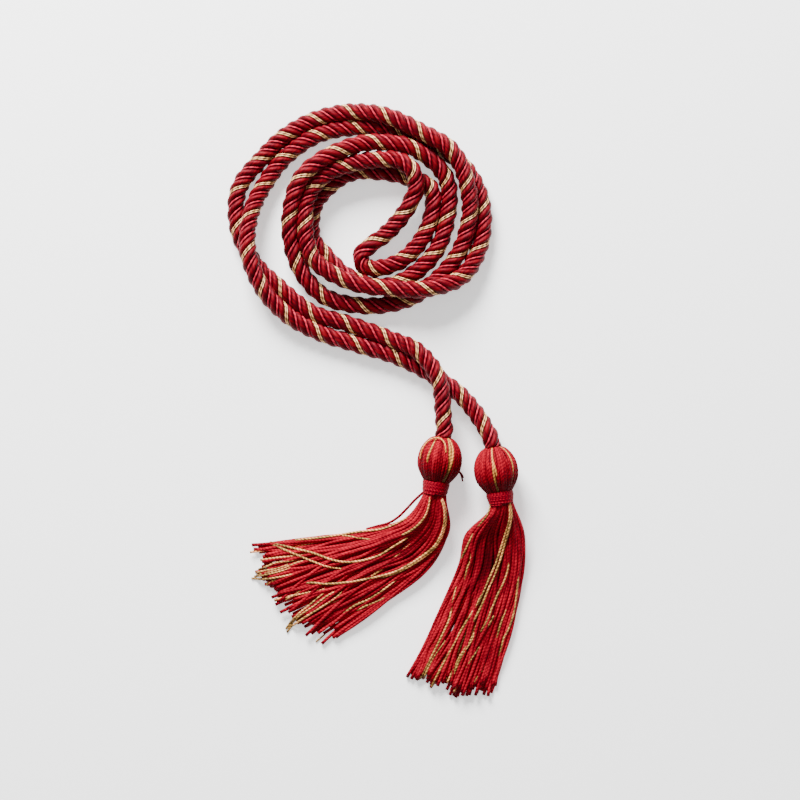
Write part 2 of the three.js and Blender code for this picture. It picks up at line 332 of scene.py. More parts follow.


# %% [markdown]
# Colours are written as they look on a screen, in sRGB hex, but light is added up in linear
# values, so one function turns each. Rayon is a shiny man-made silk: many fine filaments,
# twisted into a yarn. The yarn material therefore draws two patterns from the fibre map. A wave
# gives the ridges of the plies that are twisted together, and a noise that is stretched along
# the yarn gives the filaments. Both raise the ridges and give the grooves a darker dye, which is
# painted shade in the hollows of the twist, mixed with the filaments' own grain. The glint of
# dyed rayon has a little of the dye in it, so its specular tint isn't white. Each yarn's own tint
# makes it differ from its neighbours, and the same tint also carries painted shade.


# %% Yarn material
WAVE_OF_ONE = np.pi / 10  # the wave node's scale that gives one wave to each unit of the map


def linear(hex_colour):
    """Linear light from sRGB hex: v / 12.92 up to 0.04045, else ((v + 0.055) / 1.055) ** 2.4."""
    v = np.array([int(hex_colour[k : k + 2], 16) for k in (1, 3, 5)]) / 255
    light = np.where(v <= 0.04045, v / 12.92, ((v + 0.055) / 1.055) ** 2.4)
    return (*light.tolist(), 1.0)


def add_node(tree, kind, output, inputs=(), **settings):
    """Adds a node with its settings, fills its inputs with values or sockets, gives its output."""
    made = tree.nodes.new(kind)
    for name, value in settings.items():
        setattr(made, name, value)
    for name, value in dict(inputs).items():
        if isinstance(value, bpy.types.NodeSocket):
            tree.links.new(value, made.inputs[name])
        else:
            made.inputs[name].default_value = value
    return made.outputs[output]


def yarn_material(name, dyes, plies, ridge_mm, fibres, fibre_mm, gloss, shine, dull_hue=None):
    """A twisted rayon yarn.

    dyes are the colours of its ridges, its grooves and its glint; the grooves' darker dye is
    painted shade in the hollows, mixed with the filaments' own grain. plies are the ridges that
    are counted once round it, and ridge_mm is how far they stand out. fibres are the filaments
    counted once round, fibre_mm is how long one stays on the surface, gloss is the roughness of
    the glint, and shine its strength. A yarn with no plies shows its filaments alone. With a
    dull_hue, a low tint turns the dye towards that hue, where 0.5 is the hue that it has; painted
    shade lowers the tint as well as the yarn's own tone.
    """
    ridge, groove, glint = dyes
    # the share of filaments in the pattern, and the heights that are all groove and all ridge
    filaments, low, high = (0.35, 0.1, 0.7) if plies else (1, 0.36, 0.64)
    material = bpy.data.materials.new(name)
    material.use_nodes = True
    tree = material.node_tree
    shader = tree.nodes["Principled BSDF"]
    uv = add_node(tree, "ShaderNodeUVMap", "UV", uv_map="fibre_map")
    waves = {"Vector": uv, "Scale": plies * WAVE_OF_ONE}
    wave = add_node(tree, "ShaderNodeTexWave", "Fac", waves, bands_direction="X")
    stretch = {"Vector": uv, "Scale": (fibres, 1 / fibre_mm, 1)}
    stretched = add_node(tree, "ShaderNodeMapping", "Vector", stretch)
    grain = {"Vector": stretched, "Scale": 1, "Detail": 2}
    noise = add_node(tree, "ShaderNodeTexNoise", "Fac", grain, noise_dimensions="2D")
    both = {"Factor": filaments, "A": wave, "B": noise}
    height = add_node(tree, "ShaderNodeMix", "Result", both)
    # each point's own tone, with painted shade and painted light in it
    tint = add_node(tree, "ShaderNodeAttribute", "Fac", attribute_name="yarn_tone_and_painted_shade")
    heights = {"Value": height, "From Min": low, "From Max": high}
    depth = add_node(tree, "ShaderNodeMapRange", "Result", heights)
    dye = {"Factor": depth, 6: linear(groove), 7: linear(ridge)}
    colour = add_node(tree, "ShaderNodeMix", 2, dye, data_type="RGBA")
    own = {"Color": colour, "Value": tint}
    if dull_hue:
        # from a tint that is quite dull to one that is quite bright
        tints = {"Value": tint, "From Min": 0.4, "From Max": 1.1, "To Min": dull_hue, "To Max": 0.5}
        own["Hue"] = add_node(tree, "ShaderNodeMapRange", "Result", tints)
    base = add_node(tree, "ShaderNodeHueSaturation", "Color", own)
    ridges = {"Height": height, "Distance": ridge_mm * MM, "Strength": 1}
    bump = add_node(tree, "ShaderNodeBump", "Normal", ridges)
    tree.links.new(base, shader.inputs["Base Color"])
    tree.links.new(bump, shader.inputs["Normal"])
    shader.inputs["Roughness"].default_value = gloss
    shader.inputs["Specular IOR Level"].default_value = shine
    shader.inputs["Specular Tint"].default_value = linear(glint)
    print(name, "ready")
    return material


CRIMSON_GLINT = "#FF5C74"
BRIGHT_GLINT = "#FF7888"
GOLD_GLINT = "#FFE0B4"
# The thick plies are soft rayon whose filaments run nearly along the rope, with no ridges.
ply_rayon = yarn_material(
    "crimson_ply_rayon",
    dyes=("#64060F", "#3E030A", CRIMSON_GLINT),
    plies=0, ridge_mm=0.1, fibres=13, fibre_mm=8, gloss=0.5, shine=0.26,
)
# The thin cords in the grooves are spun harder, so they are smoother and shine more. Their dye is
# brighter than the plies', partly painted highlight for the pink line of light along each cord.
groove_rayon = yarn_material(
    "crimson_groove_rayon",
    dyes=("#A82034", "#74101E", BRIGHT_GLINT),
    plies=2, ridge_mm=0.02, fibres=8, fibre_mm=5, gloss=0.5, shine=0.4,
)
# The gold yarns are thin and hard, and catch the light most of all.
gold_rayon = yarn_material(
    "gold_rayon",
    dyes=("#FFC486", "#664020", GOLD_GLINT),
    plies=2, ridge_mm=0.03, fibres=8, fibre_mm=5, gloss=0.34, shine=0.7,
)

# %% [markdown]
# On the real rope three fat crimson plies are laid together with a right-hand twist, and in
# each of the three grooves between them lies a thin cord: a pair of gold yarns in one, a single
# hard crimson cord in the other two. A twist modifier on a straight rope would do for a short
# piece, but here the twist has to follow the table's own count, so that the gold comes to the
# top where it does on the real cord. The section plane cuts a slanting strand at an angle, so
# a round strand is an oval there, wider round the rope than outwards. The two gold yarns share
# one groove, which presses them narrow.

# %% Rope
# out from the rope's middle, half height and half width in mm, and sides of the section
PLY = (2.24, 1.86, 1.94, 14)
GROOVE_CORD = (2.94, 0.6, 0.7, 10)
GOLD_YARN = (3.12, 0.58, 0.48, 8)
GOLD_APART = np.radians(11.2)  # from the middle of the groove to each of the gold pair
FIBRE_LEAN = 2.15  # turns of the filaments round a ply, a lay
YARN_TURN = 3.2  # mm along a thin yarn for one turn of its own twist
# painted shade: the share of the dye's brightness that is left deep in a groove
PLY_GROOVE_SHADE, GOLD_GROOVE_SHADE = 0.22, 0.08  # what is left of the dye's brightness deep in a groove


def facing_out(sides):
    """How much each side of a strand faces out of the rope: -cos of its turn from the inside."""
    return -np.cos(2 * np.pi * np.arange(sides) / sides)


third = 2 * np.pi / 3
ply_grid = np.stack([laid_strand(lay_angle + (k + 0.5) * third, *PLY) for k in range(3)])
groove_grid = np.stack([laid_strand(lay_angle + k * third, *GROOVE_CORD) for k in (1, 2)])
gold_grid = np.stack([laid_strand(lay_angle + k * GOLD_APART, *GOLD_YARN) for k in (-1, 1)])
ply_twist = np.stack([FIBRE_LEAN * rope_lays + k / 3 for k in range(3)])
thin_twist = np.stack([rope_run / YARN_TURN, rope_run / YARN_TURN + 0.3])
two_runs = np.stack([rope_run] * 2)

# Painted shade: a ply's dye is drawn brightest on its crest and darker on its flanks, which face
# the next ply, where little light gets in.
# The gold pair are painted darker in the same way where they face each other, which gives a dark
# line between them.
ply_painted_shade = PLY_GROOVE_SHADE + (1 - PLY_GROOVE_SHADE) * np.clip((facing_out(PLY[-1]) + 0.25) / 1.05, 0, 1)
gold_painted_shade = GOLD_GROOVE_SHADE + (1 - GOLD_GROOVE_SHADE) * np.clip(facing_out(GOLD_YARN[-1]) + 0.1, 0, 1)
rope_plies = yarn_object(
    "rope_plies", ply_rayon, ply_grid, ply_twist, np.stack([rope_run] * 3), ply_painted_shade
)
rope_groove_cords = yarn_object(
    "rope_groove_cords", groove_rayon, groove_grid, thin_twist, two_runs
)
rope_gold_yarns = yarn_object(
    "rope_gold_yarns", gold_rayon, gold_grid, thin_twist, two_runs, gold_painted_shade
)
for piece in (rope_plies, rope_groove_cords, rope_gold_yarns):
    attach(piece, "root")
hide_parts("cord")

# %% [markdown]
# A tassel is made from one thick hank of yarn. The hank is laid over the end of the rope,
# folded down on all sides and tied under the fold, which makes the round head. Thread wound
# tight covers the tie, and below it the yarns are cut and hang free. The pieces are drawn
# straight along -Y first, and then turned and moved to their end of the rope.

# %% Where a tassel sits
TASSEL_ENDS = {"left": ROUTE[0][:2], "right": ROUTE[-1][:2]}
TASSEL_TURNS = {"left": np.radians(-9), "right": np.radians(8.6)}
LAID_STEPS = 8  # points of the smooth curve between two rows of a yarn that is laid over others
CARRY = 1.3  # how near, in mm and seen from above, a point below has to be to carry it
SMOOTHING = 2  # points to either side that its height is evened over
DIP, DIP_LENGTH = 0.7, 2  # how deep in mm its ends go down, and over what length


def to_end(points, side):
    """Turns points of a straight tassel about Z by its angle, and adds the rope's end."""
    turn = TASSEL_TURNS[side]
    x, y, z = np.moveaxis(np.asarray(points, float), -1, 0)
    end_x, end_y = np.add(TASSEL_ENDS[side], PLACED)
    return np.stack(
        [
            x * np.cos(turn) - y * np.sin(turn) + end_x,
            x * np.sin(turn) + y * np.cos(turn) + end_y,
            z,
        ],
        axis=-1,
    )


def yarn_tubes(paths, half_widths, half_heights, sides, upwards=(0, 0, 1)):
    """Carries an oval section along every path (yarns, rows, 3).

    A point is the path + half width x cos(turn) x across + half height x sin(turn) x up.
    """
    _, up, across = axes_along(paths, upwards)
    turn = 2 * np.pi * np.arange(sides) / sides - np.pi / 2
    width = np.broadcast_to(half_widths, paths.shape[:-1])[..., None, None]
    height = np.broadcast_to(half_heights, paths.shape[:-1])[..., None, None]
    return (
        paths[..., None, :]
        + width * np.cos(turn)[:, None] * across[..., None, :]
        + height * np.sin(turn)[:, None] * up[..., None, :]
    )


def laid_over(below, rows, steps, radius, sink):
    """Lays one yarn along rows of x and y (in the drawing's mm) over the points that are below.

    At each point of the smooth curve the height is the highest point within CARRY of it, plus
    its own radius, less sink. The highest of a few neighbours keeps it on top, a running mean
    takes out the steps, and both ends dip, because they come out from under other yarns.
    """
    flat = np.pad(np.add(rows, PLACED), ((0, 0), (0, 1)))
    curve = smooth_curve(flat, LAID_STEPS)
    run = length_along(curve)
    at = np.linspace(0, run[-1], steps)
    curve = np.stack([np.interp(at, run, curve[:, k]) for k in range(3)], axis=-1)
    apart = np.linalg.norm(curve[:, None, :2] - below[None, :, :2], axis=-1)
    top = np.where(apart < CARRY, below[:, 2], 0).max(axis=1)
    width = 2 * SMOOTHING + 1
    padded = np.pad(top, 2 * SMOOTHING, mode="edge")
    highest = np.lib.stride_tricks.sliding_window_view(padded, width).max(axis=1)
    height = np.convolve(highest, np.ones(width) / width, mode="valid") + radius - sink
    height -= DIP * (np.exp(-at / DIP_LENGTH) + np.exp(-(at[-1] - at) / DIP_LENGTH))
    curve[:, 2] = np.maximum(height, radius)
    return curve


print("tassels at", TASSEL_ENDS)

# %% [markdown]
# The tassels' yarn is softer and brighter than the rope's, a plain two-ply rayon. The same
# material makes it, with other colours and ridges. The gold yarns get a hue that turns to olive
# where they are dull, from painted shade as well as from their own tone, as the real ones look
# olive in shade.

# %% Finishes of the tassels
tassel_rayon = yarn_material(
    "crimson_tassel_rayon",
    dyes=("#8A0E1E", "#620712", CRIMSON_GLINT),
    plies=2, ridge_mm=0.06, fibres=7, fibre_mm=4, gloss=0.6, shine=0.1,
)
tassel_gold = yarn_material(
    "gold_tassel_rayon",
    dyes=("#F09A62", "#683218", GOLD_GLINT),
    plies=2, ridge_mm=0.1, fibres=7, fibre_mm=4, gloss=0.45, shine=0.3, dull_hue=0.53,
)
# Over the head the same yarn is pulled tight, so its twist hardly shows.
head_rayon = yarn_material(
    "crimson_head_rayon",
    dyes=("#8C0B1C", "#5A040F", CRIMSON_GLINT),
    plies=2, ridge_mm=0.04, fibres=7, fibre_mm=2.5, gloss=0.6, shine=0.09,
)
head_gold = yarn_material(
    "gold_head_rayon",
    dyes=("#D08444", "#6C3E1A", GOLD_GLINT),
    plies=2, ridge_mm=0.03, fibres=7, fibre_mm=2.5, gloss=0.45, shine=0.35, dull_hue=0.52,
)
# The winding's thread is fine and pulled tight, which gives thin, even and rather dull ridges.
binding_rayon = yarn_material(
    "crimson_binding_thread",
    dyes=("#84071B", "#44030E", CRIMSON_GLINT),
    plies=1, ridge_mm=0.05, fibres=5, fibre_mm=2, gloss=0.6, shine=0.07,
)
# What shows between the yarns of a head or under the winding is the inside of the hank, whose dye
# is painted nearly black as the shade it lies in.
hank_painted_shade = yarn_material(
    "crimson_hank_inside_painted_shade",
    dyes=("#440206", "#220003", CRIMSON_GLINT),
    plies=40, ridge_mm=0.2, fibres=60, fibre_mm=6, gloss=0.6, shine=0.2,
)

# %% [markdown]
# The head is the fold of the hank, so its yarns run from the rope over the bulge to the neck.
# A turned ball with a pattern of stripes would do from afar. Here each yarn is seen, so each
# is a thin tube along a meridian of a turned profile, and a core, dark with painted shade,
# closes the gaps.

# %% Heads
HEAD_RADIUS = 10
HEAD_LENGTH = 19
PIECE_GAP = 0.3
HEAD_YARNS = 72
HEAD_ROWS = 34
HEAD_YARN_RADIUS = 0.56  # where there is room; nearer the ends the yarns squeeze thinner
SQUEEZE = 1.3  # their width there over their share of the way round
CORE_SIDES = 40
ROUND_SIDES = 8  # of the section of a yarn on a head or round a neck
# share of the length from the rope to the neck, share of the radius
HEAD_PROFILE = [(-0.02, 0.36), (0.03, 0.56), (0.18, 0.81), (0.36, 0.96)]
HEAD_PROFILE += [(0.56, 1), (0.74, 0.94), (0.9, 0.77), (1.02, 0.6)]
# degrees from straight up, clockwise seen from the rope, of the yarns that are gold
GOLD_MERIDIANS = {"left": (-84, -35, 23, 28, 33, 150, 215), "right": (-8, -3, 50, 140, 230)}
LOBES = 13
VALLEY = 0.5  # mm that a yarn between two lobes lies lower
HEAD_PLACE = 0.18  # how far a yarn strays from its place, as a share of the step to the next
HEAD_SWAY = 0.035  # radians
HEAD_LIFTS = (-0.2, 0.12)  # mm
HEAD_TINTS = (0.75, 1.15)
HEAD_TURN = 3  # mm along a yarn for one turn of its own twist
HEAD_SPECKLE = 0.14
GOLD_DIVES = 0.55  # share of the way to the neck where red yarns begin to cover the gold
GOLD_DIVE = 0.3  # mm that the gold goes down there
# x and y, in the drawing's mm, of a slack gold yarn that crosses the left head's crown
CROWN_LOOP = [(20.2, -26.1), (20.8, -22.6), (22.5, -19.5), (24.8, -17.5), (27, -16.8)]
CROWN_LOOP += [(29.3, -17.2), (31, -19.2), (31.6, -23.4)]
CROWN_LOOP_RADIUS, CROWN_LOOP_ROWS = 0.34, 40
CROWN_SECTIONS = 60  # of the rope, counted from its left end, that the loop may lie on
CROWN_SINK = 0.2  # mm that it is pressed into the rope
# x, y and height of two dark ends that stick out low on the left head
TUFT = [
    [(35.2, -29.4, 9), (38.3, -33, 7.8), (39.3, -36.4, 7)],
    [(35.6, -30, 8.4), (38.7, -33, 7.4), (39.6, -34.8, 7)],
]
TUFT_RADIUS = 0.38


def head_profile(rows):
    """Length from the rope and radius at rows points of a smooth curve through the profile."""
    knots = np.pad(np.array(HEAD_PROFILE), ((0, 0), (0, 1)))
    curve = smooth_curve(knots * (HEAD_LENGTH, HEAD_RADIUS, 0), 12)
    run = length_along(curve)
    at = np.linspace(0, run[-1], rows)
    return np.interp(at, run, curve[:, 0]), np.interp(at, run, curve[:, 1])


def around_axis(angle, radius, down):
    """A point at an angle from straight up, at a radius from the tassel's axis."""
    x = radius * np.sin(angle)
    z = AXIS_HEIGHT + radius * np.cos(angle)
    return np.stack(np.broadcast_arrays(x, -down, z), axis=-1)


def hank_inside(name, radius, down, side):
    """The plain core of a head or a neck, turned from its radius at each length down it."""
    turn = 2 * np.pi * np.arange(CORE_SIDES) / CORE_SIDES
    inside = around_axis(turn, radius[:, None], down[:, None])[None]
    return yarn_object(name, hank_painted_shade, to_end(inside, side), 0 * down[None], down[None])


def crown_strays(surface):
    """The slack gold yarn over the left crown, laid on the surface's points, and the tuft."""
    rope_top = rope_path[:CROWN_SECTIONS] + (0, 0, ROPE_DIAMETER / 2 - CROWN_SINK)
    below = np.concatenate([surface, rope_top])
    loop = laid_over(below, CROWN_LOOP, CROWN_LOOP_ROWS, CROWN_LOOP_RADIUS, sink=0.1)[None]
    tuft = smooth_curve(np.add(TUFT, (*PLACED, 0)), 6)
    strays = []
    for name, lines, radius, tint, material in (
        ("tassel_left_crown_loop", loop, CROWN_LOOP_RADIUS, 1.1, head_gold),
        ("tassel_left_tuft", tuft, TUFT_RADIUS, 0.45, head_rayon),
    ):
        run = length_along(lines)
        tubes = yarn_tubes(lines, radius, 0.8 * radius, ROUND_SIDES)
        strays.append(yarn_object(name, material, tubes, run / HEAD_TURN, run, tint))
    return strays


def make_head(side, seed):
    """The head's yarns as meridians: x = R sin(a), z = R cos(a), y by the profile's length.

    Each has its own small sideways sway, and gathers to a lesser width at both ends. They lie
    in LOBES bundles with shallow valleys between, as the sine of half LOBES x the angle says,
    and painted shade darkens the yarns in the valleys. Towards the neck they crowd together and
    the red ones close over the gold; painted shade darkens them there, the gold most.
    """
    rng = np.random.default_rng(seed)
    down, radius = head_profile(HEAD_ROWS)
    down = down + PIECE_GAP
    share = np.linspace(0, 1, HEAD_ROWS)
    stray = rng.uniform(-HEAD_PLACE, HEAD_PLACE, HEAD_YARNS)
    angle = 2 * np.pi * (np.arange(HEAD_YARNS) + stray) / HEAD_YARNS
    sway = rng.normal(0, HEAD_SWAY, HEAD_YARNS)[:, None] * np.sin(np.pi * share * 2)
    angles = angle[:, None] + sway
    thick = np.minimum(HEAD_YARN_RADIUS, SQUEEZE * np.pi * radius / HEAD_YARNS)
    lobe = np.abs(np.sin(LOBES * angle / 2 + rng.uniform(-0.3, 0.3, HEAD_YARNS)))[:, None]
    lift = rng.uniform(*HEAD_LIFTS, HEAD_YARNS)[:, None] + VALLEY * (lobe - 1)
    lift = lift * np.sin(np.pi * share)
    wanted = np.array(GOLD_MERIDIANS[side])[:, None]
    apart = np.abs((np.degrees(angle) - wanted + 180) % 360 - 180)
    gold = np.zeros(HEAD_YARNS, bool)
    gold[apart.argmin(axis=1)] = True
    lift[gold] -= GOLD_DIVE * np.clip((share - GOLD_DIVES) / 0.15, 0, 1)
    paths = around_axis(angles, radius - thick + lift, down)
    outwards = around_axis(angles, 1, 0) - (0, 0, AXIS_HEIGHT)
    grids = yarn_tubes(paths, thick * 1.05, thick, ROUND_SIDES, outwards)
    run = length_along(paths)
    twist = run / HEAD_TURN + rng.uniform(0, 1, HEAD_YARNS)[:, None]
    # painted shade: the dye is drawn darker towards the neck, the end that faces away from the lamp
    neck_painted_shade = 1.05 - 0.6 * np.clip((share - 0.4) / 0.45, 0, 1)
    mottle = 1 + 0.1 * np.sin(run / 0.9 + rng.uniform(0, 2 * np.pi, HEAD_YARNS)[:, None])
    mottle += rng.normal(0, HEAD_SPECKLE, (HEAD_YARNS, HEAD_ROWS))
    # painted shade: yarns in the valleys between lobes are drawn darker, on top of each yarn's own
    # tone
    own = rng.uniform(*HEAD_TINTS, HEAD_YARNS)[:, None] * (0.55 + 0.45 * lobe)
    tint = own * neck_painted_shade * mottle
    # painted shade: the gold is drawn darker still towards the neck, where the red yarns close over
    # it
    tint[gold] *= 1 - 0.6 * np.clip((share - GOLD_DIVES) / 0.3, 0, 1)
    tint = tint[..., None]
    made = []
    for name, chosen, material in (
        (f"tassel_{side}_head_yarns", ~gold, head_rayon),
        (f"tassel_{side}_head_gold", gold, head_gold),
    ):
        world = to_end(grids[chosen], side)
        made.append(yarn_object(name, material, world, twist[chosen], run[chosen], tint[chosen]))
    if side == "left":
        made += crown_strays(to_end(paths + outwards * thick[:, None], side).reshape(-1, 3))
    made.append(hank_inside(f"tassel_{side}_head_inside", radius - 1.5 * thick, down, side))
    for piece in made:
        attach(piece, "root")
    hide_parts(f"tassel_{side}_head")


make_head("left", 3)
make_head("right", 8)

# %% [markdown]
# The winding is one thread led round and round the neck. A helix does it: the angle grows by
# a full turn while the thread moves along by its own width. A slow wave in the step and in the
# radius keeps it from looking machined, and a plain core closes the inside.

# %% Bindings
BINDING_RADIUS = 6.2
BINDING_LENGTH = 6.2
BINDING_TURNS = 13
BINDING_ROWS = 26
THREAD = 0.31  # radius
THREAD_TURN = 1.4  # mm along the thread for one turn of its own twist
UNEVEN = 0.22  # the most that a turn's random share comes to
# share of the length from the head, share of the radius
BINDING_PROFILE = [(0, 0.97), (0.2, 1), (0.8, 0.92), (1, 0.86)]


def make_binding(side, seed):
    """A helix: angle 2 pi s, down the neck by s / turns of its length, s from 0 to turns.

    A turn's random share shifts the wave of its step and changes its radius.
    """
    rng = np.random.default_rng(seed)
    start = PIECE_GAP + HEAD_LENGTH + PIECE_GAP
    s = np.linspace(0, BINDING_TURNS, BINDING_TURNS * BINDING_ROWS)
    share = s / BINDING_TURNS
    shares = rng.uniform(-UNEVEN, UNEVEN, BINDING_TURNS + 1)
    uneven = np.interp(s, np.arange(BINDING_TURNS + 1), shares)
    down = start + THREAD + (BINDING_LENGTH - 2 * THREAD) * share
    down = down + 0.35 * THREAD * np.sin(2 * np.pi * s + uneven * 6)
    knots = np.array(BINDING_PROFILE)
    radius = BINDING_RADIUS * np.interp(share, knots[:, 0], knots[:, 1]) - THREAD + uneven * 0.6
    path = around_axis(2 * np.pi * s, radius, down)[None]
    outwards = around_axis(2 * np.pi * s, 1, 0)[None] - (0, 0, AXIS_HEIGHT)
    grid = yarn_tubes(path, THREAD, THREAD, ROUND_SIDES, outwards)
    run = length_along(path)
    name = f"tassel_{side}_binding_thread"
    thread = yarn_object(name, binding_rayon, to_end(grid, side), run / THREAD_TURN, run)

    core_share = np.linspace(0, 1, 12)
    core_radius = BINDING_RADIUS * np.interp(core_share, knots[:, 0], knots[:, 1]) - 1.5 * THREAD
    core_down = start + BINDING_LENGTH * core_share
    core = hank_inside(f"tassel_{side}_binding_inside", core_radius, core_down, side)
    for piece in (thread, core):
        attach(piece, "root")
    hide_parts(f"tassel_{side}_binding")


make_binding("left", 5)
make_binding("right", 6)

# %% [markdown]
# A skirt is well over a hundred cut yarns. They leave the binding as a tight round bundle
# and fan out flat as they fall over to one side. A hair system could grow them, but these
# yarns are few and thick and each is seen, so each is a tube of its own. Its path runs between
# the skirt's two edges at the yarn's own share of the way across, and between the table and the
# crown of the heap at its own height. Small drifts make neighbours cross, and each yarn stops
# at its own length, which gives the ragged cut.

# %% Skirt's own sizes
SKIRT_LENGTH = 90
SKIRT_START = PIECE_GAP + HEAD_LENGTH + PIECE_GAP + BINDING_LENGTH + PIECE_GAP
BUNDLE_RADIUS = 5
YARN_RADIUS = 0.65
YARN_FLATNESS = 1.15  # width over height
SKIRT_ACROSS = 41  # yarns side by side
SKIRT_LAYERS = 4
CLUMPS = 9
CLUMP_PULL = 0.35  # share of the way to the clump's middle, at the cut ends
DRIFT, LEVEL_DRIFT = 0.06, 0.14  # random shares sideways and in height, at the cut ends
STEADY = 0.2  # share of all this that the lowest layer does
GOLD_BELOW = 0.03  # share of gold among the yarns that aren't laid by hand
SKIRT_STEPS = 12  # points of the smooth curve between two stations
SKIRT_SIDES = 7
# x and y of both edges at five stations from the neck to the cut ends, shares of SKIRT_LENGTH
SKIRT_EDGES = {
    "left": [
        (-0.055, -0.015, 0.06, -0.015),
        (-0.12, -0.14, 0.1, -0.16),
        (-0.29, -0.225, 0.04, -0.355),
        (-0.54, -0.3, -0.13, -0.545),
        (-0.83, -0.38, -0.39, -0.8),
    ],
    "right": [
        (-0.06, -0.015, 0.06, -0.015),
        (-0.2, -0.13, 0.09, -0.155),
        (-0.25, -0.265, 0.06, -0.34),
        (-0.385, -0.49, -0.02, -0.565),
        (-0.6, -0.78, -0.18, -0.93),
    ],
}
# how far each ninth of the skirt reaches, as a share of its length, edge to edge
REACHES = {
    "left": [1.02, 1.07, 1.13, 1.13, 1.16, 1.1, 1.11, 1.04, 0.97],
    "right": [0.98, 0.99, 0.98, 1, 1.01, 1.04, 1.02, 0.99, 0.97],
}
# half height of the heap of yarns at the five stations, in mm, before the yarn's own radius
HEAP = [5.0, 5.6, 4.4, 3.2, 2.2]
EDGE_FALL = 0.45  # how much lower it is at its edges than in its middle
# where the heap is hollow and shaded: share across, share along, and how deep
HOLLOWS = {"left": (0.58, 0.4, 0.3), "right": (0.48, 0.35, 0.56)}
HOLLOW_ACROSS, HOLLOW_ALONG = 0.26, 0.19  # shares over which it fades
print(SKIRT_ACROSS * SKIRT_LAYERS, "loose yarns in each skirt")


# %% Paths of a skirt's yarns
def skirt_paths(side, rng):
    """Five stations for each yarn, and the smooth curve through them.

    A station lies at edge 1 + (edge 2 - edge 1) x across. Its height is the heap's middle
    + (2 x level - 1) x the heap's half height, which falls off towards both edges. Further
    down, yarns draw together in clumps: across moves towards the nearest clump's middle. The
    lowest layer keeps its order, so that no gap goes through to the table.
    """
    count = SKIRT_ACROSS * SKIRT_LAYERS
    across = (np.arange(count) // SKIRT_LAYERS + rng.uniform(0.1, 0.9, count)) / SKIRT_ACROSS
    level = (np.arange(count) % SKIRT_LAYERS + rng.uniform(0.1, 0.9, count)) / SKIRT_LAYERS
    edges = np.array(SKIRT_EDGES[side]) * SKIRT_LENGTH
    along = np.linspace(0, 1, 5)
    clump_middles = (np.arange(CLUMPS) + 0.5 + rng.uniform(-0.3, 0.3, CLUMPS)) / CLUMPS
    nearest = np.abs(across[:, None] - clump_middles).argmin(axis=1)
    pull = (clump_middles[nearest] - across)[:, None] * CLUMP_PULL * along
    drift = rng.normal(0, DRIFT, (count, 5)) * along**1.2
    loose = np.where(np.arange(count) % SKIRT_LAYERS == 0, STEADY, 1)[:, None]
    share = np.clip(across[:, None] + loose * (pull + drift), 0.01, 0.99)
    offset = 2 * share - 1
    x = edges[:, 0] + (edges[:, 2] - edges[:, 0]) * share
    y = edges[:, 1] + (edges[:, 3] - edges[:, 1]) * share
    half = np.array(HEAP) * (1 - EDGE_FALL * offset**2)
    half[:, 0] = BUNDLE_RADIUS * np.sqrt(1 - 0.9 * offset[:, 0] ** 2)
    middle = np.stack([np.full(count, float(AXIS_HEIGHT)), half[:, 1] + 1.6], axis=1)
    middle = np.concatenate([middle, half[:, 2:]], axis=1)
    level_drift = rng.normal(0, LEVEL_DRIFT, (count, 5)) * along
    mixed = np.clip(level[:, None] + loose * level_drift, 0, 1)
    z = middle + (2 * mixed - 1) * (half - YARN_RADIUS)
    z *= 1 - hollow(side, share, along)
    z = np.maximum(z, YARN_RADIUS)

    reaches = np.array(REACHES[side])
    ninth = np.minimum((across * len(reaches)).astype(int), len(reaches) - 1)
    reach = 2 * (reaches[ninth] - 1) + rng.uniform(-0.14, 0.06, count)
    x[:, 4] += reach * (x[:, 4] - x[:, 3])
    y[:, 4] += reach * (y[:, 4] - y[:, 3])
    stations = np.stack([x, y - SKIRT_START, z], axis=-1)
    inner = stations[:, :1] * (0.85, 1, 1) + (0, 4, 0)
    paths = smooth_curve(np.concatenate([inner, stations], axis=1), SKIRT_STEPS)
    return paths, across, level


def hollow(side, across, along):
    """How hollow the heap is: depth x a bell curve of across x a bell curve of along."""
    middle, down, depth = HOLLOWS[side]
    far = ((across - middle) / HOLLOW_ACROSS) ** 2 + ((along - down) / HOLLOW_ALONG) ** 2
    return depth * np.exp(-far)
